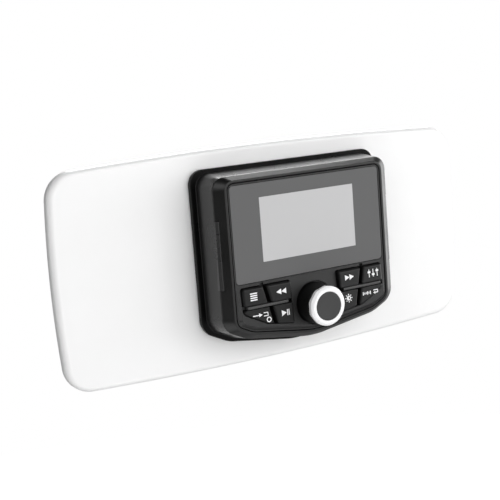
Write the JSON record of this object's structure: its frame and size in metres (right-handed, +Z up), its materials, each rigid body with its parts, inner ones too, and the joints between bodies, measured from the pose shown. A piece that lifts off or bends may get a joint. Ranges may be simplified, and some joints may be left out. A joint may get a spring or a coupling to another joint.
{
  "type": "marine stereo",
  "caption": "Gauge-style marine stereo with a flush display, two clusters of keys and a central push-turn knob, in a clip-on trim, fixed to a pale curved mounting board, with a round rear body.",
  "frame": {"origin": "on the rear barrel's axis, in the plane of the mounting board's back face", "axes": "+X to the right as the user sees the front, +Y backwards along the rear barrel into the dash, +Z up; the display faces -Y"},
  "size_m": [0.288, 0.1121, 0.1342],
  "materials": {
    "white_board": "white moulded board, satin gloss",
    "seal_rubber": "black seal rubber",
    "housing_plastic": "black moulded plastic, fine satin",
    "trim_plastic": "black moulded trim, soft satin sheen",
    "fascia_plastic": "charcoal moulded plastic, fine satin",
    "lens_glass": "smoked flush display lens, glossy",
    "black_foam": "black foam adhesive tape",
    "display_glass": "grey display, unlit",
    "ribbon_film": "film cable",
    "keypad_rubber": "grey silicone",
    "steel": "stainless steel",
    "led_resin": "clear resin",
    "circuit_board": "green circuit board",
    "brass_plate": "plated brass",
    "knob_plastic": "deep black plastic",
    "ring_metal": "polished aluminium",
    "cap_plastic": "charcoal plastic",
    "black_aluminium": "black anodised aluminium",
    "chip_resin": "black moulded resin",
    "shield_tin": "tin-plated shield",
    "capacitor_sleeve": "dark sleeve",
    "socket_white": "natural nylon",
    "socket_black": "black nylon",
    "nickel_plate": "nickel plate",
    "key_plastic": "black key caps, satin"
  },
  "bodies": {
    "stereo": {"mounting_board": "white_board", "dash_gasket": "seal_rubber", "front_housing": "housing_plastic", "fascia": "fascia_plastic", "display_lens": "lens_glass", "lens_tape": "black_foam", "display_panel": "display_glass", "display_frame": "housing_plastic", "display_ribbon": "ribbon_film", "keypad_left": "keypad_rubber", "keypad_right": "keypad_rubber", "key_switches": "steel", "key_lights": "led_resin", "control_board": "circuit_board", "board_screws": "steel", "fascia_screws": "steel", "encoder_body": "steel", "encoder_nut": "brass_plate", "knob_seal": "seal_rubber", "rear_barrel": "housing_plastic", "barrel_seal": "seal_rubber", "barrel_screws": "steel", "heat_sink": "black_aluminium", "heat_sink_screws": "steel", "main_board": "circuit_board", "main_board_screws": "steel", "amplifier_chip": "chip_resin", "tuner_module": "shield_tin", "radio_module": "shield_tin", "capacitors": "capacitor_sleeve", "link_sockets": "socket_white", "link_ribbon": "ribbon_film", "speaker_socket": "socket_black", "power_socket": "socket_black", "data_socket": "socket_black", "socket_pins": "brass_plate", "antenna_socket": "nickel_plate", "line_sockets": "nickel_plate", "mounting_screws": "steel"},
    "trim": {"trim_bezel": "trim_plastic"},
    "menu_key": {"key_menu": "key_plastic"},
    "rewind_key": {"key_rewind": "key_plastic"},
    "source_key": {"key_source": "key_plastic"},
    "play_key": {"key_play": "key_plastic"},
    "preset_key": {"key_preset": "key_plastic"},
    "forward_key": {"key_forward": "key_plastic"},
    "band_key": {"key_band": "key_plastic"},
    "brightness_key": {"key_brightness": "key_plastic"},
    "knob_plunger": {"encoder_plunger": "steel"},
    "knob": {"knob_skirt": "knob_plastic", "knob_ring": "ring_metal", "knob_cap": "cap_plastic", "encoder_shaft": "steel"}
  },
  "joints": [
    {"name": "menu_press", "type": "slide", "parent": "stereo", "child": "menu_key", "axis": [0, 1, 0], "range_m": [0, 0.001], "stiffness_N_per_m": 400, "springref_m": -0.001},
    {"name": "rewind_press", "type": "slide", "parent": "stereo", "child": "rewind_key", "axis": [0, 1, 0], "range_m": [0, 0.001], "stiffness_N_per_m": 400, "springref_m": -0.001},
    {"name": "source_press", "type": "slide", "parent": "stereo", "child": "source_key", "axis": [0, 1, 0], "range_m": [0, 0.001], "stiffness_N_per_m": 400, "springref_m": -0.001},
    {"name": "play_press", "type": "slide", "parent": "stereo", "child": "play_key", "axis": [0, 1, 0], "range_m": [0, 0.001], "stiffness_N_per_m": 400, "springref_m": -0.001},
    {"name": "preset_press", "type": "slide", "parent": "stereo", "child": "preset_key", "axis": [0, 1, 0], "range_m": [0, 0.001], "stiffness_N_per_m": 400, "springref_m": -0.001},
    {"name": "forward_press", "type": "slide", "parent": "stereo", "child": "forward_key", "axis": [0, 1, 0], "range_m": [0, 0.001], "stiffness_N_per_m": 400, "springref_m": -0.001},
    {"name": "band_press", "type": "slide", "parent": "stereo", "child": "band_key", "axis": [0, 1, 0], "range_m": [0, 0.001], "stiffness_N_per_m": 400, "springref_m": -0.001},
    {"name": "brightness_press", "type": "slide", "parent": "stereo", "child": "brightness_key", "axis": [0, 1, 0], "range_m": [0, 0.001], "stiffness_N_per_m": 400, "springref_m": -0.001},
    {"name": "knob_push", "type": "slide", "parent": "stereo", "child": "knob_plunger", "axis": [0, 1, 0], "range_m": [0, 0.0005], "stiffness_N_per_m": 1500, "springref_m": -0.001},
    {"name": "knob_turn", "type": "hinge", "parent": "knob_plunger", "child": "knob", "pos_m": [0, -0.04, -0.0308], "axis": [0, 1, 0], "continuous": true},
    {"name": "trim_pull", "type": "slide", "parent": "stereo", "child": "trim", "axis": [0, -1, 0], "range_m": [0, 0.012]}
  ]
}
